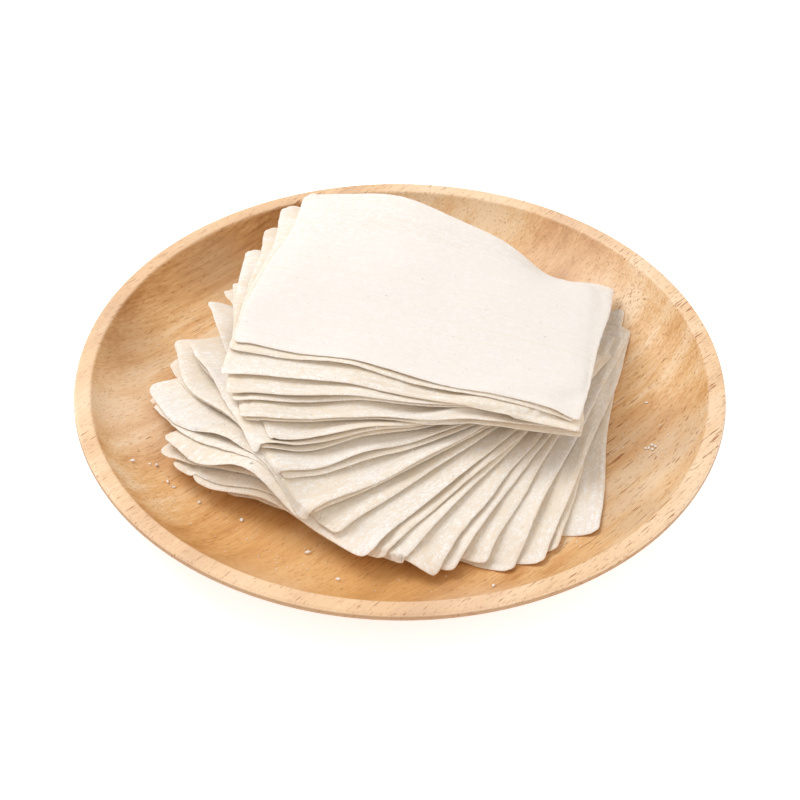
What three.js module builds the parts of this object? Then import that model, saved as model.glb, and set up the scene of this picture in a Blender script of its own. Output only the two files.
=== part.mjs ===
// A fanned stack of wonton wrappers on a round wooden plate.
// Millimetres, Z up. The origin is the centre of the plate's foot, on the table.
import * as THREE from 'three';

// The plate, turned from one piece of pale wood.
const PLATE_RADIUS = 100;
const PLATE_HEIGHT = 20;
const FOOT_RADIUS = 60;
const FLOOR_HEIGHT = 7.5;
const FLOOR_RADIUS = 72;
const RIM_WIDTH = 4.8;
const RIM_EDGE = 2.2;
const PLATE_SEGMENTS = 56;

// How the plate's walls bend. The inner one drops from the rim and runs out on the floor. The
// outer one leaves the foot low and steepens under the rim. The rim's corners are eased.
const INNER_DROP = 6;
const INNER_SLANT = 4;
const INNER_RUN = 12;
const OUTER_START = 1;
const OUTER_LIFT = 2.5;
const OUTER_RUN = 14;
const OUTER_TUCK = 12;
const OUTER_DROP = 8;
const EASE = 0.7;
const INNER_STEPS = 8;
const OUTER_STEPS = 6;

// A wrapper: thin dough, cut to a rectangle whose ends lean a little out of square.
const LENGTH = 109;
const WIDTH = 79;
const END_LEAN = 4;
const THICKNESS = 0.6;

// How each wrapper lies, from the bottom of the pile up: the turn of its long front edge in
// degrees, anticlockwise from +X, the place of its front left corner, and its length and width
// where it was cut short. Two rows nearly alike are two wrappers that stick together.
const LAID = [
  [82, 58, -58],
  [76, 46, -65],
  [71, 41, -71],
  [68, 32, -73],
  [66, 25, -71],
  [61, 15, -75],
  [60, 10, -77],
  [55, 1, -74],
  [50, -5, -73],
  [49, -10, -74],
  [43, -18, -66],
  [36, -25, -61],
  [36, -26, -62],
  [27, -33, -52],
  [26, -35, -51],
  [19, -40, -43, 109, 66],
  [18, -42, -43, 109, 66],
  [16, -37, -40, 105],
  [2, -46, -30, 103],
  [2, -47, -30, 103],
  [-2, -50, -21, 106],
  [-4, -52, -19, 107],
  [-12, -54, -9],
  [-16, -53, 1],
  [-17, -51, 3],
];

// How the dough hangs: the part of a bend that one pass takes out, and the fall in a pass.
const STIFFNESS = 0.4;
const FALL = 0.2;
const DRY_FALL = 0.06;
const FALLING_PASSES = 300;
const CLEARING_PASSES = 60;

// The air left under a wrapper, and how finely its rest on the pile is felt.
const GAP = 0.16;
const SAMPLE_STEP = 2;
const EDGE_MARGIN = 0.6;
const CELLS_LONG = 11;
const CELLS_WIDE = 8;

// How far the left back corner of a wrapper curls up off the one below, and how wide the curl
// is. The lowest wrappers lie flat. The dry ones on top curl the widest, and their back edges
// rise in two waves: the share of the length where each stands, and its rise.
const FLAT_WRAPPERS = 5;
const TIP_RISE = 3;
const TIP_REACH = 16;
const DRY_WRAPPERS = 5;
const DRY_RISE = 3.7;
const DRY_REACH = 24;
const WAVES = [[0.4, 1.1], [0.7, 0.9]];
const WAVE_REACH = 14;

const finish = (color, roughness) => (
  new THREE.MeshStandardMaterial({ color, roughness, metalness: 0 })
);
const dough = finish(0xf6efe0, 0.85);
const wood = finish(0xdcae78, 0.55);

// Points along a curve in the plate's section, from its four control points.
function curve(points, steps) {
  const bent = new THREE.CubicBezierCurve(...points.map(([x, y]) => new THREE.Vector2(x, y)));
  return bent.getPoints(steps);
}

// The plate's inner wall, from just under the rim down a soft cove to the flat floor.
function insideWall() {
  const top = PLATE_RADIUS - RIM_WIDTH;
  return curve([
    [top - EASE, PLATE_HEIGHT - EASE],
    [top - INNER_SLANT, PLATE_HEIGHT - INNER_DROP],
    [FLOOR_RADIUS + INNER_RUN, FLOOR_HEIGHT],
    [FLOOR_RADIUS, FLOOR_HEIGHT],
  ], INNER_STEPS);
}

// The plate's outer wall, from the foot up a shallow curve to the side of the rim.
function outsideWall() {
  const rimSide = PLATE_HEIGHT - RIM_EDGE;
  return curve([
    [FOOT_RADIUS + OUTER_START, OUTER_START],
    [FOOT_RADIUS + OUTER_RUN, OUTER_LIFT],
    [PLATE_RADIUS - OUTER_TUCK, rimSide - OUTER_DROP],
    [PLATE_RADIUS - EASE, rimSide - EASE],
  ], OUTER_STEPS);
}

// Half the plate's section, from the axis under the foot, round the rim and back to the axis.
function plateSection() {
  return [
    new THREE.Vector2(0, 0),
    new THREE.Vector2(FOOT_RADIUS, 0),
    ...outsideWall(),
    new THREE.Vector2(PLATE_RADIUS, PLATE_HEIGHT - RIM_EDGE),
    new THREE.Vector2(PLATE_RADIUS - EASE / 2, PLATE_HEIGHT - EASE),
    new THREE.Vector2(PLATE_RADIUS - 2 * EASE, PLATE_HEIGHT),
    new THREE.Vector2(PLATE_RADIUS - RIM_WIDTH, PLATE_HEIGHT),
    ...insideWall(),
    new THREE.Vector2(0, FLOOR_HEIGHT),
  ];
}

// Height of the plate's inside at a distance from its axis.
const wallSteps = insideWall();
function plateHeight(radius) {
  if (radius <= FLOOR_RADIUS) {
    return FLOOR_HEIGHT;
  }
  const at = Math.max(wallSteps.findIndex((step) => step.x <= radius), 1);
  const outer = wallSteps[at - 1];
  const inner = wallSteps[at];
  const share = Math.min((radius - inner.x) / (outer.x - inner.x), 1);
  return THREE.MathUtils.lerp(inner.y, outer.y, share);
}

// A wrapper's place in plan, and the heights of its underside at the nodes of its grid.
class Wrapper {
  constructor([turn, x, y, length = LENGTH, width = WIDTH]) {
    const alongEdge = THREE.MathUtils.degToRad(turn);
    const endEdge = THREE.MathUtils.degToRad(turn + 90 + END_LEAN);
    this.x = x;
    this.y = y;
    this.length = length;
    this.width = width;
    this.along = [Math.cos(alongEdge), Math.sin(alongEdge)];
    this.across = [Math.cos(endEdge), Math.sin(endEdge)];
    this.area = this.along[0] * this.across[1] - this.along[1] * this.across[0];
    this.heights = new Float64Array((CELLS_LONG + 1) * (CELLS_WIDE + 1));
  }

  node(i, j) {
    return j * (CELLS_LONG + 1) + i;
  }

  // The place in plan of a point given by its distances along and across the wrapper.
  place(u, v) {
    return [
      this.x + u * this.along[0] + v * this.across[0],
      this.y + u * this.along[1] + v * this.across[1],
    ];
  }

  // The three nodes round a point of the wrapper, with their weights.
  corners(u, v) {
    const s = THREE.MathUtils.clamp((u / this.length) * CELLS_LONG, 0, CELLS_LONG);
    const t = THREE.MathUtils.clamp((v / this.width) * CELLS_WIDE, 0, CELLS_WIDE);
    const i = Math.min(Math.floor(s), CELLS_LONG - 1);
    const j = Math.min(Math.floor(t), CELLS_WIDE - 1);
    const p = s - i;
    const q = t - j;
    if (p >= q) {
      return [[this.node(i, j), 1 - p], [this.node(i + 1, j), p - q], [this.node(i + 1, j + 1), q]];
    }
    return [[this.node(i, j), 1 - q], [this.node(i + 1, j + 1), p], [this.node(i, j + 1), q - p]];
  }

  // Height of the wrapper's upper face over a point in plan, or nothing outside its edges.
  topAt(x, y) {
    const dx = x - this.x;
    const dy = y - this.y;
    const u = (dx * this.across[1] - dy * this.across[0]) / this.area;
    const v = (dy * this.along[0] - dx * this.along[1]) / this.area;
    const beside = Math.max(-u, u - this.length, -v, v - this.width);
    if (beside > EDGE_MARGIN) {
      return -Infinity;
    }
    return this.corners(u, v).reduce((sum, [n, w]) => sum + w * this.heights[n], THICKNESS);
  }
}

// The points where a wrapper feels what is under it, each with the height that it can't pass.
function contactsUnder(wrapper, below) {
  const contacts = [];
  const along = Math.ceil(wrapper.length / SAMPLE_STEP);
  const across = Math.ceil(wrapper.width / SAMPLE_STEP);
  for (let b = 0; b <= across; b += 1) {
    for (let a = 0; a <= along; a += 1) {
      const u = (a / along) * wrapper.length;
      const v = (b / across) * wrapper.width;
      const [x, y] = wrapper.place(u, v);
      const tops = below.map((other) => other.topAt(x, y));
      const support = Math.max(plateHeight(Math.hypot(x, y)), ...tops) + GAP;
      const nodes = wrapper.corners(u, v);
      const norm = nodes.reduce((sum, [, w]) => sum + w * w, 0);
      contacts.push({ nodes, norm, support });
    }
  }
  return contacts;
}

// The threes of nodes in line, both ways of the grid, whose bend the dough resists.
function gridLines(wrapper) {
  const lines = [];
  for (let j = 0; j <= CELLS_WIDE; j += 1) {
    for (let i = 1; i < CELLS_LONG; i += 1) {
      lines.push([wrapper.node(i - 1, j), wrapper.node(i, j), wrapper.node(i + 1, j)]);
    }
  }
  for (let i = 0; i <= CELLS_LONG; i += 1) {
    for (let j = 1; j < CELLS_WIDE; j += 1) {
      lines.push([wrapper.node(i, j - 1), wrapper.node(i, j), wrapper.node(i, j + 1)]);
    }
  }
  return lines;
}

// Lifts the wrapper off whatever it has sunk into.
function liftClear(h, contacts) {
  for (const { nodes, norm, support } of contacts) {
    const rest = nodes.reduce((sum, [n, w]) => sum + w * h[n], 0);
    const depth = support - rest;
    if (depth > 0) {
      nodes.forEach(([n, w]) => {
        h[n] += (depth * w) / norm;
      });
    }
  }
}

// Lays one wrapper over the plate and the pile: it falls, straightens its bends and rests.
function lay(wrapper, below, fall) {
  const contacts = contactsUnder(wrapper, below);
  const lines = gridLines(wrapper);
  const h = wrapper.heights;
  h.fill(contacts.reduce((highest, contact) => Math.max(highest, contact.support), 0));
  for (let pass = 0; pass < FALLING_PASSES; pass += 1) {
    for (let n = 0; n < h.length; n += 1) {
      h[n] -= fall;
    }
    for (const [a, middle, b] of lines) {
      const bend = (h[a] - 2 * h[middle] + h[b]) * STIFFNESS;
      h[a] -= bend / 6;
      h[middle] += bend / 3;
      h[b] -= bend / 6;
    }
    liftClear(h, contacts);
  }
  for (let pass = 0; pass < CLEARING_PASSES; pass += 1) {
    liftClear(h, contacts);
  }
}

// Curls up the back edge of a laid wrapper, round a place that is a share of its length along.
function curl(wrapper, rise, reach, place = 0) {
  for (let j = 0; j <= CELLS_WIDE; j += 1) {
    for (let i = 0; i <= CELLS_LONG; i += 1) {
      const u = (i / CELLS_LONG) * wrapper.length;
      const v = (j / CELLS_WIDE) * wrapper.width;
      const away = Math.hypot(u - place * wrapper.length, wrapper.width - v) / reach;
      wrapper.heights[wrapper.node(i, j)] += rise * Math.exp(-(away ** 2) / 2);
    }
  }
}

// The nodes round the cut edge of a wrapper, in order.
function edgeNodes(wrapper) {
  const edge = [];
  for (let i = 0; i < CELLS_LONG; i += 1) {
    edge.push(wrapper.node(i, 0));
  }
  for (let j = 0; j < CELLS_WIDE; j += 1) {
    edge.push(wrapper.node(CELLS_LONG, j));
  }
  for (let i = CELLS_LONG; i > 0; i -= 1) {
    edge.push(wrapper.node(i, CELLS_WIDE));
  }
  for (let j = CELLS_WIDE; j > 0; j -= 1) {
    edge.push(wrapper.node(0, j));
  }
  return edge;
}

// The closed thin solid of a laid wrapper: both faces split alike, and a band round the edge.
function wrapperGeometry(wrapper) {
  const columns = CELLS_LONG + 1;
  const rows = CELLS_WIDE + 1;
  const positions = [];
  for (const lift of [THICKNESS, 0]) {
    for (let j = 0; j < rows; j += 1) {
      for (let i = 0; i < columns; i += 1) {
        const u = (i / CELLS_LONG) * wrapper.length;
        const v = (j / CELLS_WIDE) * wrapper.width;
        const [x, y] = wrapper.place(u, v);
        positions.push(x, y, wrapper.heights[wrapper.node(i, j)] + lift);
      }
    }
  }
  const under = columns * rows;
  const index = [];
  for (let j = 0; j < CELLS_WIDE; j += 1) {
    for (let i = 0; i < CELLS_LONG; i += 1) {
      const a = wrapper.node(i, j);
      const b = a + 1;
      const c = b + columns;
      const d = a + columns;
      index.push(a, b, c, a, c, d);
      index.push(under + a, under + c, under + b, under + a, under + d, under + c);
    }
  }
  const edge = edgeNodes(wrapper);
  edge.forEach((a, k) => {
    const b = edge[(k + 1) % edge.length];
    index.push(a, under + a, under + b, a, under + b, b);
  });
  const geometry = new THREE.BufferGeometry();
  geometry.setAttribute('position', new THREE.Float32BufferAttribute(positions, 3));
  geometry.setIndex(index);
  return geometry;
}

const stack = new THREE.Group();

const plate = new THREE.Mesh(new THREE.LatheGeometry(plateSection(), PLATE_SEGMENTS), wood);
plate.geometry.rotateX(Math.PI / 2);
plate.name = 'plate';
stack.add(plate);

const pile = [];
LAID.forEach((row, k) => {
  const dry = k >= LAID.length - DRY_WRAPPERS;
  const wrapper = new Wrapper(row);
  lay(wrapper, pile, dry ? DRY_FALL : FALL);
  if (k >= FLAT_WRAPPERS) {
    curl(wrapper, dry ? DRY_RISE : TIP_RISE, dry ? DRY_REACH : TIP_REACH);
  }
  if (dry) {
    WAVES.forEach(([place, rise]) => curl(wrapper, rise, WAVE_REACH, place));
  }
  pile.push(wrapper);
  const mesh = new THREE.Mesh(wrapperGeometry(wrapper), dough);
  mesh.name = `wrapper_${String(k + 1).padStart(2, '0')}`;
  stack.add(mesh);
});

export default stack;
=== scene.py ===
"""A fanned stack of wonton wrappers on a round wooden plate, finished for rendering."""

import math

import bpy
import numpy as np
from mathutils import Matrix, Vector


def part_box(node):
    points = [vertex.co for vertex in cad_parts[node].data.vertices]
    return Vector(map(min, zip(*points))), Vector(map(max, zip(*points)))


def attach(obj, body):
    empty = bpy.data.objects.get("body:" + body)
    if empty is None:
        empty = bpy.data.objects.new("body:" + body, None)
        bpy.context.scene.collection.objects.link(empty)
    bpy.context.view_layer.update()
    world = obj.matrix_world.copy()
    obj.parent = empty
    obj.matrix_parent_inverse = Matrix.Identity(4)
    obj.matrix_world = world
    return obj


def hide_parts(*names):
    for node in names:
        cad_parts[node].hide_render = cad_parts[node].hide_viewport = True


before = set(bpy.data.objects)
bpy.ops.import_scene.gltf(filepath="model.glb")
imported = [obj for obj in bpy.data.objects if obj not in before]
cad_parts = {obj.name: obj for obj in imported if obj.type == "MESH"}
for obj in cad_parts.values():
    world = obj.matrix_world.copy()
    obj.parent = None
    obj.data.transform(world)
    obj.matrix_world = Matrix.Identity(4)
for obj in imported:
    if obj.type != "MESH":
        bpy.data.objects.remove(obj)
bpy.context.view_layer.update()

# The camera looks down on the plate from the front, as far off as a table photograph is
# taken, with the lens turned by half a degree.
AIM = Vector((0.00005, -0.01225, 0.020))
DISTANCE = 0.626
LOOK_DOWN = math.radians(41.855)
LENS_TURN = math.radians(0.594)
camera = bpy.data.objects.new("camera", bpy.data.cameras.new("camera"))
camera.data.sensor_width = 36
camera.data.lens = 92.75
camera.data.clip_start = 0.01
turn = Matrix.Rotation(math.pi / 2 - LOOK_DOWN, 4, "X") @ Matrix.Rotation(LENS_TURN, 4, "Z")
away = Vector((0, -math.cos(LOOK_DOWN), math.sin(LOOK_DOWN))) * DISTANCE
camera.matrix_world = Matrix.Translation(AIM + away) @ turn
bpy.context.scene.collection.objects.link(camera)
bpy.context.scene.camera = camera


# The plate is one piece of pale hardwood, turned on a lathe and oiled. Its rim is a flat
# band, and a soft cove leads down to a flat floor. The grain runs across it at a slant.
class Shade:
    """A socket of a material's tree: arithmetic on it adds Math nodes."""

    def __init__(self, tree, socket=None):
        self.tree = tree
        self.socket = socket

    def node(self, kind, settings=None, sockets=None, output=0):
        """Any other node: its settings first, then the values or links of its sockets."""
        made = self.tree.nodes.new(kind)
        for name, value in (settings or {}).items():
            if name == "stops":
                fill_ramp(made.color_ramp, value)
            else:
                setattr(made, name, value)
        for name, value in (sockets or {}).items():
            if isinstance(value, Shade):
                self.tree.links.new(value.socket, made.inputs[name])
            else:
                made.inputs[name].default_value = value
        return Shade(self.tree, made.outputs[output])

    def maths(self, operation, *values):
        return self.node("ShaderNodeMath", {"operation": operation}, dict(enumerate(values)))

    def __add__(self, other):
        return self.maths("ADD", self, other)

    def __radd__(self, other):
        return self.maths("ADD", other, self)

    def __sub__(self, other):
        return self.maths("SUBTRACT", self, other)

    def __rsub__(self, other):
        return self.maths("SUBTRACT", other, self)

    def __mul__(self, other):
        return self.maths("MULTIPLY", self, other)

    def __rmul__(self, other):
        return self.maths("MULTIPLY", other, self)

    def __pow__(self, other):
        return self.maths("POWER", self, other)

    def stretch(self, scale, shift=(0, 0, 0), spin=0):
        """This vector turned about Z, then shifted and scaled along each axis."""
        turned = self.node("ShaderNodeVectorRotate", {"rotation_type": "Z_AXIS"},
                           {"Vector": self, "Angle": spin})
        moved = self.node("ShaderNodeVectorMath", {"operation": "ADD"}, {0: turned, 1: shift})
        return self.node("ShaderNodeVectorMath", {"operation": "MULTIPLY"}, {0: moved, 1: scale})

    def noise(self, scale, detail=2, roughness=0.5):
        """Cloudy noise from 0 to 1 over this vector."""
        return self.node("ShaderNodeTexNoise", None,
                         {"Vector": self, "Scale": scale, "Detail": detail,
                          "Roughness": roughness})

    def from_point(self, point):
        """How far this place is from a point."""
        return self.node("ShaderNodeVectorMath", {"operation": "DISTANCE"}, {0: self, 1: point},
                         output=1)

    def from_axis(self):
        """How far this place is from the upright axis."""
        flat = self.stretch((1, 1, 0))
        return flat.node("ShaderNodeVectorMath", {"operation": "LENGTH"}, {0: flat}, output=1)

    def step(self, low, high):
        """0 at low and before it, 1 at high and past it, and a soft slope between."""
        return self.node("ShaderNodeMapRange", {"interpolation_type": "SMOOTHSTEP"},
                         {"Value": self, "From Min": low, "From Max": high})

    def tint(self, under, over):
        """The colour under where this mask is 0, and the colour over where it is 1."""
        return self.node("ShaderNodeMix", {"data_type": "RGBA"},
                         {0: self, 6: under, 7: over}, output=2)

    def relief(self, depth, before=None):
        """A bump of this height, in metres, over the normal given."""
        sockets = {"Height": self, "Distance": depth, "Strength": 1.0}
        if before:
            sockets["Normal"] = before
        return self.node("ShaderNodeBump", None, sockets)


def fill_ramp(ramp, stops):
    """Gives a colour ramp these stops, each a place and a colour."""
    while len(ramp.elements) < len(stops):
        ramp.elements.new(1)
    for element, (place, colour) in zip(ramp.elements, stops):
        element.position = place
        element.color = colour


def finish_of(name, **constants):
    """A new material, its shader node, and the tree as a Shade."""
    material = bpy.data.materials.new(name)
    material.use_nodes = True
    shader = material.node_tree.nodes["Principled BSDF"]
    for socket, value in constants.items():
        shader.inputs[socket.replace("_", " ")].default_value = value
    return material, shader, Shade(material.node_tree)


def feed(shader, tree, **links):
    """Links shades to the shader's sockets, named with _ for a space."""
    for socket, shade in links.items():
        tree.tree.links.new(shade.socket, shader.inputs[socket.replace("_", " ")])


def dressed(name, mesh, material, slot, *nodes):
    """Makes a piece of a mesh, in its material, standing for its CAD nodes."""
    piece = bpy.data.objects.new(name, mesh)
    bpy.context.scene.collection.objects.link(piece)
    mesh.materials.append(material)
    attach(piece, "root")
    if nodes:
        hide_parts(*nodes)


plate_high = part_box("plate")[1]
PLATE_RADIUS = plate_high.x
PLATE_HEIGHT = plate_high.z
FOOT_RADIUS = 0.060
FLOOR_HEIGHT = 0.0075
FLOOR_RADIUS = 0.072
RIM_WIDTH = 0.0048
RIM_SIDE = PLATE_HEIGHT - 0.0022
CENTRE_RADIUS = 0.006
ROUND_STEPS = 360

# How the walls bend, as in the CAD. The inner one drops from the rim and runs out on the floor.
# The outer one leaves the foot low and steepens under the rim.
INNER_DROP = 0.006
INNER_SLANT = 0.004
INNER_RUN = 0.012
OUTER_START = 0.001
OUTER_LIFT = 0.0025
OUTER_RUN = 0.014
OUTER_TUCK = 0.012
OUTER_DROP = 0.008

# The rim: how far the walls stop short of it, then steps in and down from its outer edge for
# the outer corner and the flat top, and from its inner edge for the inner corner.
EASE = 0.0008
LIP_DROP = 0.0007
OUTER_CORNER = [(0.0003, 0.0006), (0.0004, 0.0002), (0.0007, 0), (0.0012, 0)]
TOP_STEPS = (0.0025, 0.0038, RIM_WIDTH - 0.0004)
INNER_CORNER = [(0, 0.00003), (0.0003, 0.0001), (0.0006, 0.0003)]


def bezier(points, steps):
    """Points along a cubic Bezier curve, both ends included."""
    t = np.linspace(0, 1, steps + 1)[:, None]
    a, b, c, d = (np.array(p, float) for p in points)
    return a * (1 - t) ** 3 + 3 * b * t * (1 - t) ** 2 + 3 * c * t**2 * (1 - t) + d * t**3


def plate_walls():
    """The outer wall from the foot up, and the inner wall from the rim down."""
    outer = bezier([(FOOT_RADIUS + OUTER_START, OUTER_START),
                    (FOOT_RADIUS + OUTER_RUN, OUTER_LIFT),
                    (PLATE_RADIUS - OUTER_TUCK, RIM_SIDE - OUTER_DROP),
                    (PLATE_RADIUS - EASE, RIM_SIDE - EASE)], 30)
    inner = bezier([(PLATE_RADIUS - RIM_WIDTH - EASE, PLATE_HEIGHT - LIP_DROP),
                    (PLATE_RADIUS - RIM_WIDTH - INNER_SLANT, PLATE_HEIGHT - INNER_DROP),
                    (FLOOR_RADIUS + INNER_RUN, FLOOR_HEIGHT), (FLOOR_RADIUS, FLOOR_HEIGHT)], 40)
    return outer, inner


def plate_inside(radius):
    """Height of the plate's inside at distances from its axis."""
    inner = plate_walls()[1][::-1]
    return np.interp(radius, inner[:, 0], inner[:, 1])


def plate_mesh():
    """The lathe's section turned round the axis, open at neither end."""
    outer, inner = plate_walls()
    foot = [(r, 0) for r in np.linspace(CENTRE_RADIUS, FOOT_RADIUS, 10)]
    side = [(PLATE_RADIUS - 0.0002, RIM_SIDE - 0.0002), (PLATE_RADIUS, RIM_SIDE + 0.0004),
            (PLATE_RADIUS - 0.0001, PLATE_HEIGHT - 0.0011)]
    edge = bezier([(PLATE_RADIUS - w, PLATE_HEIGHT - d) for w, d in OUTER_CORNER], 5)
    top = [(PLATE_RADIUS - w, PLATE_HEIGHT) for w in TOP_STEPS]
    corner = [(PLATE_RADIUS - RIM_WIDTH - w, PLATE_HEIGHT - d) for w, d in INNER_CORNER]
    lip = bezier([*corner, tuple(inner[0])], 4)[:-1]
    floor = [(r, FLOOR_HEIGHT) for r in np.linspace(FLOOR_RADIUS - 0.006, CENTRE_RADIUS, 12)]
    section = np.array([*foot, *outer, *side, *edge, *top, *lip, *inner, *floor])
    angles = np.linspace(0, 2 * math.pi, ROUND_STEPS, endpoint=False)
    count = len(section)
    points = [(r * math.cos(a), r * math.sin(a), z) for a in angles for r, z in section]
    faces = []
    for s in range(ROUND_STEPS):
        here = s * count
        there = ((s + 1) % ROUND_STEPS) * count
        faces += [(here + k, there + k, there + k + 1, here + k + 1) for k in range(count - 1)]
    faces.append([s * count for s in range(ROUND_STEPS)][::-1])
    faces.append([s * count + count - 1 for s in range(ROUND_STEPS)])
    mesh = bpy.data.meshes.new("plate")
    mesh.from_pydata(points, [], faces)
    mesh.polygons.foreach_set("use_smooth", [True] * len(mesh.polygons))
    # The foot, the outer wall and its side are marked for painted shade.
    below = [k < len(foot) + len(outer) + len(side) for k in range(count)] * ROUND_STEPS
    layer = mesh.attributes.new("underside", "FLOAT", "POINT")
    layer.data.foreach_set("value", np.array(below, dtype=np.float32))
    mesh.update()
    return mesh


# Where the wood is darker and grey-brown, where it is paler, partly as painted light, where
# painted contact shade makes it more orange, and where it is coarser: places and reaches.
GREY_BROWN_PATCHES = [((0.078, -0.018, 0.01), 0.026), ((0.066, -0.050, 0.01), 0.020),
          ((-0.088, 0.020, 0.012), 0.022), ((-0.062, 0.062, 0.012), 0.018)]
PALE_AND_PAINTED_LIGHT_PATCHES = [((0.060, 0.066, 0.014), 0.034), ((-0.080, -0.010, 0.01), 0.030),
                ((-0.040, -0.085, 0.01), 0.024), ((0.020, -0.092, 0.012), 0.022)]
PAINTED_CONTACT_SHADE = ((-0.020, -0.066, 0.006), 0.060)
COARSE_PATCH = ((0.080, -0.045, 0.01), 0.060)
GRAIN_SLANT = math.radians(-46)
PORE_DEPTH = 0.00008

# The wood's colours: its own from dark to pale, then those of the grey-brown and pale patches,
# of the painted contact shade, the rim, the painted shade of the underside and the pores.
WOOD_TONES = [(0.37, (0.46, 0.19, 0.05, 1)), (0.45, (0.69, 0.36, 0.135, 1)),
              (0.52, (0.83, 0.52, 0.25, 1)), (0.60, (0.94, 0.71, 0.47, 1))]
GREY_BROWN_WOOD = (0.50, 0.32, 0.19, 1)
PALE_AND_PAINTED_LIGHT_WOOD = (0.95, 0.73, 0.55, 1)
PAINTED_CONTACT_SHADE_WOOD = (0.82, 0.46, 0.17, 1)
RIM_WOOD = (0.95, 0.74, 0.54, 1)
PAINTED_UNDERSIDE_SHADE = (0.36, 0.19, 0.085, 1)
PORE_BROWN = (0.38, 0.13, 0.03, 1)


def wood_finish():
    """Pale hardwood: soft bands, fine fibres and short dark pores along the grain, oiled."""
    material, shader, tree = finish_of("turned wood", IOR=1.45, Coat_Weight=0.08,
                                       Coat_Roughness=0.35)
    place = tree.node("ShaderNodeTexCoord", output=3)
    grain = place.stretch((1, 1, 1), spin=GRAIN_SLANT)
    warp = grain.stretch((5, 16, 12), (0.31, 0.07, 0)).noise(1, 2)
    turns = warp * 60 + grain.stretch((2, 40, 30)).noise(1, 1) * 3
    rings = turns.maths("SINE", turns)
    broad = grain.stretch((7, 24, 16)).noise(1, 3, 0.5)
    bands = grain.stretch((10, 150, 90)).noise(1, 3, 0.55)
    fibres = grain.stretch((70, 1400, 700)).noise(1, 3, 0.6)
    tone = broad * 0.56 + bands * 0.26 + fibres * 0.22 + rings * 0.02 - 0.02
    base = tone.node("ShaderNodeValToRGB", {"stops": WOOD_TONES}, {"Fac": tone})
    for spot, reach in GREY_BROWN_PATCHES:
        near = place.from_point(spot).step(reach, reach * 0.2) * (bands * 0.8 + 0.3)
        base = (near * 0.55).tint(base, GREY_BROWN_WOOD)
    # Paler patches, partly painted light: those on the left floor and the front wall stand for
    # light falling there.
    for spot, reach in PALE_AND_PAINTED_LIGHT_PATCHES:
        near = place.from_point(spot).step(reach, reach * 0.2) * (broad * 0.8 + 0.2)
        base = (near * 0.6).tint(base, PALE_AND_PAINTED_LIGHT_WOOD)
    # Painted shade: the wood round the front left of the pile is tinted deeper orange, as its
    # contact shadow.
    painted_contact_shade = place.from_point(PAINTED_CONTACT_SHADE[0]).step(PAINTED_CONTACT_SHADE[1], PAINTED_CONTACT_SHADE[1] * 0.3)
    base = (painted_contact_shade * 0.5).tint(base, PAINTED_CONTACT_SHADE_WOOD)
    rim = place.from_axis().step(PLATE_RADIUS - RIM_WIDTH - 0.001, PLATE_RADIUS - RIM_WIDTH)
    base = (rim * 0.5).tint(base, RIM_WOOD)
    # Painted shade: the foot and the outer wall up to the rim are tinted dark brown.
    underside = tree.node("ShaderNodeAttribute", {"attribute_name": "underside"}, output=2)
    base = (underside * 0.8).tint(base, PAINTED_UNDERSIDE_SHADE)
    crowd = grain.stretch((12, 30, 20), (0.05, 0.02, 0)).noise(1, 2)
    pores = grain.stretch((420, 2300, 1500)).noise(1, 1, 0.5)
    dots = (pores + crowd * 0.14).step(0.68, 0.78)
    dashes = grain.stretch((120, 1500, 900), (0.4, 0.1, 0)).noise(1, 1, 0.5)
    right = place.from_point(COARSE_PATCH[0]).step(COARSE_PATCH[1], COARSE_PATCH[1] * 0.4)
    coarse = right.maths("MAXIMUM", right * 0.10, rim * 0.065)
    strokes = (dashes + crowd * 0.2 + coarse).step(0.84, 0.91)
    lines = fibres.step(0.56, 0.72) * right
    marks = dots * 0.45 + strokes * 0.85 + lines * 0.25
    worn = marks.maths("MINIMUM", marks, 1.0)
    colour = worn.tint(base, PORE_BROWN)
    normal = (worn * -1 + fibres * 0.25).relief(PORE_DEPTH)
    feed(shader, tree, Base_Color=colour, Roughness=fibres * 0.2 + 0.38, Normal=normal)
    return material


dressed("turned_plate", plate_mesh(), wood_finish(), "plate_wood", "plate")


# Each wrapper is a thin rectangle of rolled dough, cut by a blade and dusted with flour. It
# lies over the wrappers under it, stiff enough to bridge small steps, with its free edges a
# little wavy and its corners hanging down to the plate.
THICKNESS = 0.00062
AIR = 0.00008
CELLS_LONG = 11
CELLS_WIDE = 8
GROUND_STEP = 0.0005
GROUND_REACH = 0.1
GRID_STEP = 0.0016
EDGE_PLACES = np.array([0, 0.0005, 0.0011, 0.0019, 0.0029])
EDGE_REACH = 0.0042
CORNERS_APART = 0.03
TOP_WRAPPER = 25
UPPER_WRAPPER = 19
MM_IN_METRE = 1000
rng = np.random.default_rng(7)

# Where the back left tips lie off the corners of the CAD, by wrapper from the bottom: to the
# right, to the back and up, in millimetres.
TIPS = {2: (0, 6, 0), 3: (0, 5, 1), 4: (0, 5, 0), 5: (-3, 1, 0), 6: (1, 0, 0), 7: (-1, 0, 0),
        8: (-2, -2, -1), 9: (-4, -2, -2), 10: (1, 0, -1), 11: (-1, 3, 3), 12: (-3, -1, 0),
        13: (-2, 0, 0), 14: (0, 0, -1), 15: (2, 2, 2), 16: (-1, 0, -1), 17: (0, -2, -3),
        18: (1, 2, 3), 19: (-4, 1, 2), 20: (0, 1, 1), 22: (1, 2, 3), 23: (-2, 3, 3),
        24: (-3, 3, 3), 25: (1, 2, 2)}
TIP_REACH = 0.016

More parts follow.
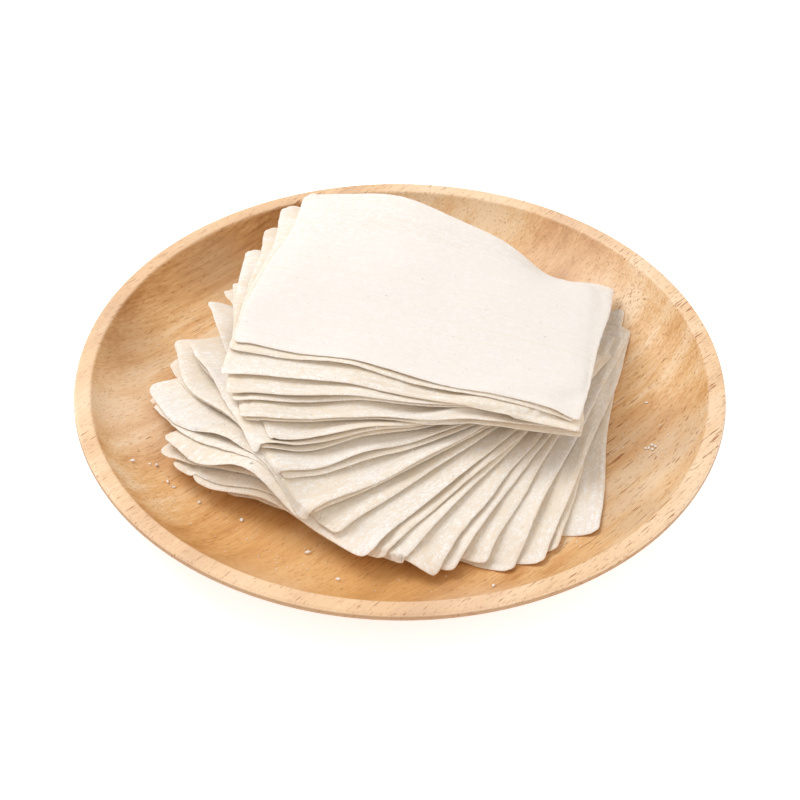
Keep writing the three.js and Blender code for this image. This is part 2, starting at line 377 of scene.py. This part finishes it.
# The same for the right ends, after the share of the width at which they move most. The lowest
# two come forward there, and the middle ones are tucked in under the top of the pile.
ENDS = {1: (0, 0, -7, 0), 2: (0, 2, -6, 0), 3: (0, -2, 0, 0), 9: (0, -4, 0, 0),
        10: (0, -3, 0, 0), 11: (0, -3, 0, 0), 12: (0, -5, 0, 0), 13: (0, -4, 0, 0),
        14: (0, -6, 0, 0), 15: (0, -5, 0, 0), 16: (0, -6, 0, 0), 17: (0, -6, 0, 0),
        18: (0, -7, 0, 0), 19: (0, -2, 0, 0), 20: (0, -1, 0, 0), 21: (0, -2, 0, 0),
        25: (1, -1, 1, 2)}

# How the edges bend off straight: the edge, the lowest and highest wrapper, the place and
# spread as shares of the edge, and how far it goes out and up, in millimetres.
BENDS = [("left", 8, 10, 0.77, 0.16, 2, -3), ("left", 11, 15, 0.74, 0.18, 3, -4),
         ("left", 12, 13, 0.70, 0.18, 2, -1), ("left", 16, 17, 0.82, 0.14, 1, -2),
         ("left", 25, 25, 0.75, 0.16, -2, 0), ("left", 25, 25, 0.22, 0.20, 1, 0),
         ("back", 25, 25, 0.30, 0.18, 3, 3), ("back", 21, 25, 0.80, 0.11, -3, -3)]
BEND_DEPTH = 0.018

# Where the pile stands up in a hump near the left ends, and how many millimetres it lifts each
# wrapper.
HUMP_PLACE = (-0.041, -0.050)
HUMP_REACH = 0.014
HUMP_RISES = {5: 3, 6: 3, 7: 5, 8: 5, 9: 5, 10: 7, 11: 2}

# How high the free edges wave, and how far in from them that dies away.
FRONT_WAVE = 0.0005
LEFT_WAVE = 0.0005
BACK_WAVE = 0.0007
WAVE_REACH = 0.012
BACK_WAVE_REACH = 0.015

# How a sheet comes to rest: the passes that lift it clear of what is below, the width of edge
# that clings to it, the furthest that this pulls the edge down, how far in from the front edge
# its lip stands up, and how far past its edges a sheet still carries the next.
LAYING_PASSES = 14
CLING_REACH = 0.006
CLING_LIMIT = 0.0014
LIP_REACH = 0.0035
GROUND_MARGIN = 0.0006

# The cut edge: the radius of the back left corner, of the other corners, and of those high in
# the pile. The nicks of the cutting, each with its depth, its shortest and longest wave and how
# far in it fades. How far the edge bulges out, and how deep and how far in its top is worn.
BACK_LEFT_RADIUS = 0.0045
CORNER_RADIUS = 0.0022
UPPER_RADIUS = 0.0014
NICKS = ((0.00005, 0.003, 0.012, 0.002), (0.0003, 0.03, 0.08, 0.01))
EDGE_BULGE = 0.00012
WORN_DEPTH = 0.0003
WORN_REACH = 0.0007

# What the finish goes by: how far the pattern of each wrapper lies from that of the last, how
# far the painted shade under a wrapper's edge reaches past it, and how many wrappers up are asked.
PATTERN_SHIFT = 0.37
PAINTED_SHADE_REACH = 0.004
PAINTED_SHADE_WRAPPERS = 3

# The dough's colours: bare, floured and thickly floured, then those of the blots of flour, of
# the rolled threads, and the painted warm shade of the creases under the next wrapper.
BARE_DOUGH = (0.84, 0.74, 0.63, 1)
FLOURED_DOUGH = (0.875, 0.825, 0.785, 1)
THICK_FLOUR = (0.92, 0.87, 0.84, 1)
FLOUR_BLOTS = (0.99, 0.97, 0.96, 1)
DOUGH_THREADS = (0.86, 0.76, 0.62, 1)
PAINTED_CREASE_SHADE = (0.92, 0.80, 0.64, 1)


def cad_wrapper(node):
    """The CAD wrapper's front left corner, its two edges in plan, and its heights by rows."""
    points = np.array([v.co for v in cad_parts[node].data.vertices])
    plan = points[:, :2]
    middle = (plan.min(0) + plan.max(0)) / 2
    reach = np.hypot(*(plan - middle).T)
    first = plan[reach.argmax()]
    apart = np.minimum(np.hypot(*(plan - first).T), np.hypot(*(plan - (2 * middle - first)).T))
    second = plan[np.where(apart > CORNERS_APART, reach, 0).argmax()]
    sides = [second - first, 2 * middle - second - first]
    sides.sort(key=lambda side: -np.hypot(*side))
    along, across = sides
    along = along if along @ (1, 0.2) > 0 else -along
    across = across if along[0] * across[1] > along[1] * across[0] else -across
    corner = middle - (along + across) / 2
    share = np.linalg.solve(np.array([along, across]).T, (plan - corner).T).T
    i = np.rint(share[:, 0] * CELLS_LONG).astype(int)
    j = np.rint(share[:, 1] * CELLS_WIDE).astype(int)
    heights = np.full((CELLS_WIDE + 1, CELLS_LONG + 1), np.inf)
    np.minimum.at(heights, (j, i), points[:, 2])
    return corner, along, across, heights


def spline_weights(count, at):
    """Catmull-Rom weights that carry count evenly spaced values to the places at, 0 to 1."""
    weights = np.zeros((len(at), count))
    for row, share in enumerate(np.asarray(at) * (count - 1)):
        k = min(int(share), count - 2)
        t = share - k
        four = np.array([-t + 2 * t**2 - t**3, 2 - 5 * t**2 + 3 * t**3,
                         t + 4 * t**2 - 3 * t**3, t**3 - t**2]) / 2
        for n, w in zip(range(k - 1, k + 3), four):
            if n < 0:
                weights[row, 0] += 2 * w
                weights[row, 1] -= w
            elif n >= count:
                weights[row, -1] += 2 * w
                weights[row, -2] -= w
            else:
                weights[row, n] += w
    return weights


def edge_close(length, step):
    """Places along a length with short steps near both ends and even ones between."""
    inner = np.linspace(EDGE_REACH, length - EDGE_REACH, max(int(length / step), 4))
    return np.concatenate([EDGE_PLACES, inner, length - EDGE_PLACES[::-1]])


def spread(field, rounds):
    """Softens a field by rounds of neighbour averaging."""
    for _ in range(rounds):
        padded = np.pad(field, 1, mode="edge")
        field = (padded[:-2, 1:-1] + padded[2:, 1:-1] + padded[1:-1, :-2] + padded[1:-1, 2:]) / 4
    return field


def waves(s, count, shortest, longest):
    """A smooth random line along s, in the range of about -1 to 1."""
    total = np.zeros_like(s)
    for _ in range(count):
        length = rng.uniform(shortest, longest)
        total += rng.normal() * np.sin(2 * math.pi * (s / length + rng.uniform()))
    return total / math.sqrt(count)


def hill(distance, reach):
    """1 at no distance, falling off smoothly over this reach."""
    return np.exp(-(distance / reach) ** 2)


ground_axis = np.arange(-GROUND_REACH, GROUND_REACH + GROUND_STEP / 2, GROUND_STEP)
ground_x, ground_y = np.meshgrid(ground_axis, ground_axis)
ground = plate_inside(np.hypot(ground_x, ground_y))


def sample(grid, rows, columns, y, x):
    """Values of a grid at points between its rows and columns."""
    i = np.clip(np.searchsorted(columns, x) - 1, 0, len(columns) - 2)
    j = np.clip(np.searchsorted(rows, y) - 1, 0, len(rows) - 2)
    p = np.clip((x - columns[i]) / (columns[i + 1] - columns[i]), 0, 1)
    q = np.clip((y - rows[j]) / (rows[j + 1] - rows[j]), 0, 1)
    low = grid[j, i] * (1 - p) + grid[j, i + 1] * p
    high = grid[j + 1, i] * (1 - p) + grid[j + 1, i + 1] * p
    return low * (1 - q) + high * q


class Wrapper:
    """One sheet: its place in plan, a grid of places U, V on it, and the heights h there."""

    def __init__(self, k):
        self.k = k
        self.corner, along, across, heights = cad_wrapper(f"wrapper_{k:02d}")
        self.length, self.width = np.hypot(*along), np.hypot(*across)
        self.axes = np.array([along / self.length, across / self.width])
        self.u = edge_close(self.length, GRID_STEP)
        self.v = edge_close(self.width, GRID_STEP)
        self.U, self.V = np.meshgrid(self.u, self.v)
        across_weights = spline_weights(CELLS_WIDE + 1, self.v / self.width)
        along_weights = spline_weights(CELLS_LONG + 1, self.u / self.length)
        self.h = across_weights @ heights @ along_weights.T
        self.tip = [value / MM_IN_METRE for value in TIPS.get(k, (0, 0, 0))]
        self.end_share, *moves = ENDS.get(k, (0, 0, 0, 0))
        self.end = [value / MM_IN_METRE for value in moves]

    def bends(self, U, V):
        """How far the bent edges go out along the sheet, out across it, and up."""
        moves = np.zeros((3, *U.shape))
        for edge, lowest, highest, place, wide, *shift in BENDS:
            out, up = (value / MM_IN_METRE for value in shift)
            if lowest <= self.k <= highest and edge == "left":
                near = hill(V / self.width - place, wide) * hill(np.maximum(U, 0), BEND_DEPTH)
                moves += np.multiply.outer((-out, 0, up), near)
            elif lowest <= self.k <= highest:
                back = np.maximum(self.width - V, 0)
                near = hill(U / self.length - place, wide) * hill(back, BEND_DEPTH)
                moves += np.multiply.outer((0, out, up), near)
        return moves

    def place(self, U, V):
        """Points in plan of places on the sheet."""
        along, across, _ = self.bends(U, V)
        tip, end = self.near_tips(U, V)
        (ax, ay), (bx, by) = self.axes
        x = self.corner[0] + (U + along) * ax + (V + across) * bx
        y = self.corner[1] + (U + along) * ay + (V + across) * by
        return (x + self.tip[0] * tip + self.end[0] * end,
                y + self.tip[1] * tip + self.end[1] * end)

    def near_tips(self, U, V):
        """1 at the back left tip, and at the place that moves on the right end, and 0 far off."""
        tip = hill(np.hypot(U, self.width - V), TIP_REACH)
        end = hill(np.hypot(self.length - U, V - self.end_share * self.width), TIP_REACH)
        return tip, end

    def find(self, x, y):
        """Places on the sheet, or past its edges, of points in plan."""
        back = np.linalg.inv(self.axes.T)
        U, V = np.zeros_like(x), np.zeros_like(x)
        for _ in range(6):
            at_x, at_y = self.place(U, V)
            U = U + back[0, 0] * (x - at_x) + back[0, 1] * (y - at_y)
            V = V + back[1, 0] * (x - at_x) + back[1, 1] * (y - at_y)
        return U, V

    def shape(self):
        """Bends the sheet's edges, tip and front, as dough takes a set of its own."""
        U, V = self.U, self.V
        tip, end = self.near_tips(U, V)
        x, y = self.place(U, V)
        hump = HUMP_RISES.get(self.k, 0) / MM_IN_METRE
        self.h += hump * hill(np.hypot(x - HUMP_PLACE[0], y - HUMP_PLACE[1]), HUMP_REACH)
        self.h += self.tip[2] * tip + self.end[2] * end + self.bends(U, V)[2]
        self.h += FRONT_WAVE * waves(U, 3, 0.035, 0.07) * np.exp(-V / WAVE_REACH)
        self.h += LEFT_WAVE * waves(V, 3, 0.03, 0.06) * np.exp(-U / WAVE_REACH)
        inward = (V - self.width) / BACK_WAVE_REACH
        self.h += BACK_WAVE * waves(U, 3, 0.04, 0.08) * np.exp(inward)

    def lay(self):
        """Rests the sheet on the ground, its edges hanging close to what is below."""
        U, V = self.U, self.V
        back, right = self.width - V, self.length - U
        x, y = self.place(U, V)
        floor = sample(ground, ground_axis, ground_axis, y, x) + AIR
        for _ in range(LAYING_PASSES):
            sunk = np.maximum(floor - self.h, 0)
            self.h += np.maximum(spread(sunk, 6), sunk * 0.5)
        self.h = np.maximum(self.h, floor)
        tip = self.near_tips(U, V)[0]
        cling = rng.uniform(0.5, 0.9) * hill(V - CLING_REACH, 0.005)
        cling += rng.uniform(0.4, 0.9) * hill(np.minimum(U, right), CLING_REACH) * (1 - tip)
        cling += rng.uniform(0.3, 0.7) * hill(back, CLING_REACH) * (1 - tip)
        self.h -= np.minimum((self.h - floor) * np.clip(cling, 0, 0.95), CLING_LIMIT)
        lip = rng.uniform(0.0006, 0.0011) * (1 + 0.4 * waves(U, 3, 0.025, 0.06))
        lip *= 0.5 if self.k >= UPPER_WRAPPER else 1
        self.h += np.clip(lip, 0.0003, 0.002) * hill(V, LIP_REACH) * np.clip(right / 0.06, 0, 1)
        U, V = self.find(ground_x, ground_y)
        inside = (U > -GROUND_MARGIN) & (U < self.length + GROUND_MARGIN)
        inside &= (V > -GROUND_MARGIN) & (V < self.width + GROUND_MARGIN)
        top = sample(self.h, self.v, self.u, V[inside], U[inside]) + THICKNESS
        ground[inside] = np.maximum(ground[inside], top)

    def flour(self, U, V):
        """How thickly flour lies, 0 to 1: thick on the top wrapper, a little less at its back."""
        u, v = U / self.length, V / self.width
        if self.k == TOP_WRAPPER:
            line = 0.64 + 0.23 * u + 0.02 * np.sin(9 * u) + 0.012 * np.sin(23 * u + 1)
            return np.clip((line - v) / 0.05, -1, 1) * 0.07 + 0.90
        drift = np.sin(5 * u + 2.1 * self.k) * np.sin(4 * v + 1.3 * self.k)
        return 0.40 + 0.30 * drift

    def cut_edge(self):
        """The plan again, with rounded corners and the small nicks of the cutting."""
        U, V = self.U, self.V
        back, right = self.width - V, self.length - U
        usual = CORNER_RADIUS if self.k < UPPER_WRAPPER else UPPER_RADIUS
        radius = np.where((U < right) & (back < V), BACK_LEFT_RADIUS, usual)
        du = np.clip(radius - U, 0, None) - np.clip(radius - right, 0, None)
        dv = np.clip(radius - V, 0, None) - np.clip(radius - back, 0, None)
        reach = np.hypot(du, dv)
        square = np.maximum(abs(du), abs(dv))
        pull = np.where(reach > 0, 1 - square / np.maximum(reach, 1e-9), 0)
        nu, nv = du * pull, dv * pull
        for nick, shortest, longest, fade in NICKS:
            ends = np.exp(-U / fade) - np.exp(-right / fade)
            sides = np.exp(-V / fade) - np.exp(-back / fade)
            nu += nick * waves(V, 4, shortest, longest) * ends
            nv += nick * waves(U, 4, shortest, longest) * sides
        x, y = self.place(U, V)
        (ax, ay), (bx, by) = self.axes
        return x + nu * ax + nv * bx, y + nu * ay + nv * by

    def round_edge(self):
        """Rows and columns of the grid's outer points, once round the sheet."""
        rows, columns = self.h.shape
        edge = [(0, i) for i in range(columns)] + [(j, columns - 1) for j in range(1, rows)]
        edge += [(rows - 1, i) for i in range(columns - 2, -1, -1)]
        edge += [(j, 0) for j in range(rows - 2, 0, -1)]
        return np.array(edge).T

    def points(self, ej, ei):
        """Points of the top, of the underside, and of the ring that rounds the cut edge."""
        x, y = self.cut_edge()
        (ax, ay), (bx, by) = self.axes
        rows, columns = self.h.shape
        out_u = np.where(ei == columns - 1, 1, 0) - np.where(ei == 0, 1, 0)
        out_v = np.where(ej == rows - 1, 1, 0) - np.where(ej == 0, 1, 0)
        ring = np.stack([x[ej, ei] + EDGE_BULGE * (out_u * ax + out_v * bx),
                         y[ej, ei] + EDGE_BULGE * (out_u * ay + out_v * by),
                         self.h[ej, ei] + THICKNESS / 4], -1)
        inward = np.minimum(np.minimum(self.U, self.length - self.U),
                            np.minimum(self.V, self.width - self.V))
        worn = WORN_DEPTH * hill(inward, WORN_REACH)
        top = np.stack([x, y, self.h + THICKNESS - worn], -1).reshape(-1, 3)
        under = np.stack([x, y, self.h], -1).reshape(-1, 3)
        return np.concatenate([top, under, ring])

    def mesh(self, shelter):
        """The closed sheet: a top, an underside and a rounded cut edge between them."""
        ej, ei = self.round_edge()
        n = self.h.size
        grid = np.arange(n).reshape(self.h.shape)
        quads = np.stack([grid[:-1, :-1], grid[:-1, 1:], grid[1:, 1:], grid[1:, :-1]], -1)
        quads = quads.reshape(-1, 4)
        rim = grid[ej, ei]
        rim_next = np.roll(rim, -1)
        middle = 2 * n + np.arange(len(rim))
        middle_next = np.roll(middle, -1)
        upper = np.stack([rim, middle, middle_next, rim_next], -1)
        lower = np.stack([middle, rim + n, rim_next + n, middle_next], -1)
        faces = np.concatenate([quads, quads[:, ::-1] + n, upper, lower])
        mesh = bpy.data.meshes.new(f"wrapper_{self.k:02d}")
        mesh.from_pydata(self.points(ej, ei).tolist(), [], faces.tolist())
        mesh.polygons.foreach_set("use_smooth", [True] * len(mesh.polygons))
        pattern = np.full_like(self.U, PATTERN_SHIFT * self.k)
        cut = np.stack([self.U, self.V, pattern], -1).reshape(-1, 3)
        cut = np.concatenate([cut, cut, cut[rim]]).astype(np.float32)
        mesh.attributes.new("cut", "FLOAT_VECTOR", "POINT").data.foreach_set("vector", cut.ravel())
        upper_face = np.concatenate([np.ones(n), np.zeros(n + len(rim))])
        dusting = self.flour(cut[:, 0], cut[:, 1]) * upper_face
        painted_shade_points = np.concatenate([shelter.ravel(), np.zeros(n + len(rim))])
        for name, values in (("dusting", dusting), ("shelter", painted_shade_points)):
            layer = mesh.attributes.new(name, "FLOAT", "POINT")
            layer.data.foreach_set("value", values.astype(np.float32))
        mesh.update()
        return mesh


def painted_shade_of(wrapper, above):
    """Painted crease shade, 0 to 1: full under the next wrappers up, fading past their edges."""
    x, y = wrapper.place(wrapper.U, wrapper.V)
    shelter = np.zeros_like(x)
    for other in above:
        U, V = other.find(x, y)
        past = np.hypot(np.maximum(np.maximum(-U, U - other.length), 0),
                        np.maximum(np.maximum(-V, V - other.width), 0))
        shelter = np.maximum(shelter, np.exp(-past / PAINTED_SHADE_REACH))
    return shelter


def dough_finish():
    """Raw dough under flour: rolled streaks along the wrapper, cloudy flour and fine grit."""
    material, shader, tree = finish_of("floured dough", Subsurface_Weight=0.5,
                                       Subsurface_Scale=0.0011, IOR=1.4)
    shader.inputs["Subsurface Radius"].default_value = (1.0, 0.95, 0.9)
    shader.inputs["Specular IOR Level"].default_value = 0.3
    cut = tree.node("ShaderNodeAttribute", {"attribute_name": "cut"}, output=1)
    dusting = tree.node("ShaderNodeAttribute", {"attribute_name": "dusting"}, output=2)
    shelter = tree.node("ShaderNodeAttribute", {"attribute_name": "shelter"}, output=2)
    streaks = cut.stretch((25, 900, 9)).noise(1, 4, 0.65)
    threads = cut.stretch((9, 1500, 9), (0.2, 0, 0)).noise(1, 2, 0.6)
    clouds = cut.stretch((90, 150, 9)).noise(1, 5, 0.6)
    lumps = cut.stretch((480, 900, 9)).noise(1, 3, 0.65)
    grit = cut.stretch((1500, 2100, 9)).noise(1, 2, 0.6)
    flour = (clouds * 0.45 + streaks * 0.35 + lumps * 0.2 + dusting * 0.22).step(0.46, 0.70)
    colour = flour.tint(BARE_DOUGH, FLOURED_DOUGH)
    colour = (dusting.step(0.7, 0.95) * 0.8).tint(colour, THICK_FLOUR)
    patch = (clouds * 0.7 + streaks * 0.3 + dusting * 0.2).step(0.42, 0.60)
    blots = (lumps * 0.5 + grit * 0.5).step(0.49, 0.57) * patch
    colour = (blots * (1 - dusting ** 4 * 0.7)).tint(colour, FLOUR_BLOTS)
    colour = (threads.step(0.54, 0.70) * 0.3).tint(colour, DOUGH_THREADS)
    # Painted shade: where a wrapper is tucked under the next ones up, its creases are tinted
    # warmer and darker.
    colour = (shelter * 0.5).tint(colour, PAINTED_CREASE_SHADE)
    normal = grit.relief(0.00006, streaks.relief(0.00014, lumps.relief(0.00012)))
    feed(shader, tree, Base_Color=colour, Roughness=flour * 0.3 + 0.55, Normal=normal)
    return material


dough = dough_finish()
pile = [Wrapper(k) for k in range(1, TOP_WRAPPER + 1)]
for wrapper in pile:
    wrapper.shape()
    wrapper.lay()
for wrapper in pile:
    mesh = wrapper.mesh(painted_shade_of(wrapper, pile[wrapper.k:wrapper.k + PAINTED_SHADE_WRAPPERS]))
    dressed(f"dough_{wrapper.k:02d}", mesh, dough, "dough", f"wrapper_{wrapper.k:02d}")


# Loose flour has fallen on the plate and lies along the wrappers. The larger white specks and
# crumbs lie where the photograph shows them, in millimetres from the plate's centre, and finer
# ones are strewn round the pile and over it.
SPECKS = [(-80, -31), (-75, -30), (-73, -30), (-69, -37), (-67, -39), (-59, -45), (-46, -52),
          (-43, -46), (-27, -59), (-22, -60), (-26, -65), (-17, -76), (27, -80)]
CRUMBS = [(75, -20), (76, -20), (77, -19), (78, -20), (77, -21), (77, 1), (82, -16)]
SIDES = 7
RINGS = (0.55, 1.0, 0.6)

# The finer flour: how many grains, round which point and how far. None lies past DUST_RADIUS.
DUSTINGS = [(160, -0.045, -0.045, 0.022), (120, 0.01, -0.05, 0.03),
            (60, 0.068, -0.02, 0.012), (160, -0.01, 0.0, 0.035)]
DUST_RADIUS = 0.084
FLOUR_TONES = (0.95, 0.92, 0.88, 1), (0.98, 0.97, 0.96, 1)


def grains(name, places, radii):
    """One mesh of small uneven lumps, drawn out one way, each resting on the ground."""
    points, faces = [], []
    for (x, y), radius in zip(places, radii):
        z = float(sample(ground, ground_axis, ground_axis, np.array([y]), np.array([x]))[0])
        first = len(points)
        flat, turned = rng.uniform(0.5, 0.8), rng.uniform(0, math.tau)
        long = rng.uniform(1.0, 2.0)
        points.append((x, y, z - 0.1 * radius))
        for n, wide in enumerate(RINGS):
            for side in range(SIDES):
                angle = math.tau * (side + 0.5 * n) / SIDES
                r = radius * wide * rng.uniform(0.6, 1.1)
                along, across = long * r * math.cos(angle), r * math.sin(angle)
                up = z + radius * flat * (0.2 + 0.75 * n)
                points.append((x + along * math.cos(turned) - across * math.sin(turned),
                               y + along * math.sin(turned) + across * math.cos(turned), up))
        points.append((x, y, z + radius * flat * 2.1))
        last = len(points) - 1
        for side in range(SIDES):
            beside = (side + 1) % SIDES
            faces.append((first, first + 1 + beside, first + 1 + side))
            for n in range(len(RINGS) - 1):
                low, high = first + 1 + n * SIDES, first + 1 + (n + 1) * SIDES
                faces.append((low + side, low + beside, high + beside, high + side))
            top = last - SIDES
            faces.append((top + side, top + beside, last))
    mesh = bpy.data.meshes.new(name)
    mesh.from_pydata(points, [], faces)
    mesh.polygons.foreach_set("use_smooth", [True] * len(mesh.polygons))
    mesh.update()
    return mesh


def strewn(count, x, y, reach):
    """Seeded places round a point, thicker near it, that stay on the plate."""
    drawn = rng.normal((x, y), reach, (4 * count, 2))
    return [tuple(p) for p in drawn if np.hypot(*p) < DUST_RADIUS][:count]


def speck_finish():
    """Dry white flour pressed into small lumps."""
    material, shader, tree = finish_of("loose flour", Roughness=0.85)
    place = tree.node("ShaderNodeTexCoord", output=3)
    tone = place.noise(1800, 2)
    feed(shader, tree, Base_Color=tone.tint(*FLOUR_TONES))
    return material


flour = speck_finish()
for name, places, smallest, largest in (("flour_specks", SPECKS, 0.00035, 0.0007),
                                        ("flour_crumbs", CRUMBS, 0.0004, 0.0006)):
    marked = [(x / MM_IN_METRE, y / MM_IN_METRE) for x, y in places]
    radii = rng.uniform(smallest, largest, len(marked))
    dressed(name, grains(name, marked, radii), flour, "dough")
fine = []
for dusting in DUSTINGS:
    fine += strewn(*dusting)
radii = rng.uniform(0.00010, 0.00024, len(fine))
dressed("flour_dust", grains("flour_dust", fine, radii), flour, "dough")


# The set is a wide pale floor under a bright soft sky, with one large soft lamp high on the
# left behind the plate and a weaker one on the right in front of it.
FLOOR_TONES = (0.93, 0.93, 0.93, 1), (0.96, 0.96, 0.96, 1)
FLOOR_GLOW = 0.62
GLOW_COLOUR = (0.90, 0.95, 1, 1)
FLOOR_REACH = 6
SKY_COLOUR = (1.0, 0.94, 0.87, 1)
SKY_STRENGTH = 0.66


def pale_finish():
    """A matt white floor that gives off a little light of its own."""
    material, shader, tree = finish_of("pale floor", Roughness=0.9, Emission_Strength=FLOOR_GLOW,
                                       Emission_Color=GLOW_COLOUR)
    place = tree.node("ShaderNodeTexCoord", output=3)
    feed(shader, tree, Base_Color=place.noise(3).tint(*FLOOR_TONES))
    return material


floor_mesh = bpy.data.meshes.new("floor")
corners = [(-1, -1), (1, -1), (1, 1), (-1, 1)]
floor_mesh.from_pydata([(x * FLOOR_REACH, y * FLOOR_REACH, 0) for x, y in corners], [],
                       [(0, 1, 2, 3)])
floor_mesh.materials.append(pale_finish())
floor = bpy.data.objects.new("floor", floor_mesh)
bpy.context.scene.collection.objects.link(floor)


def soft_lamp(name, place, size, power, colour):
    """A square soft lamp that looks at the plate."""
    lamp = bpy.data.objects.new(name, bpy.data.lights.new(name, "AREA"))
    lamp.data.size = size
    lamp.data.energy = power
    lamp.data.color = colour
    lamp.location = place
    lamp.rotation_euler = (Vector((0, 0, 0)) - lamp.location).to_track_quat("-Z", "Y").to_euler()
    bpy.context.scene.collection.objects.link(lamp)


soft_lamp("key", (-0.7, 0.5, 1.1), 0.8, 10.5, (1.0, 1.0, 1.0))
soft_lamp("fill", (0.8, -0.9, 0.9), 1.4, 4, (1.0, 0.92, 0.82))

sky = bpy.data.worlds.new("sky")
bpy.context.scene.world = sky
sky.use_nodes = True
sky.node_tree.nodes["Background"].inputs["Color"].default_value = SKY_COLOUR
sky.node_tree.nodes["Background"].inputs["Strength"].default_value = SKY_STRENGTH
bpy.context.scene.view_settings.view_transform = "Standard"
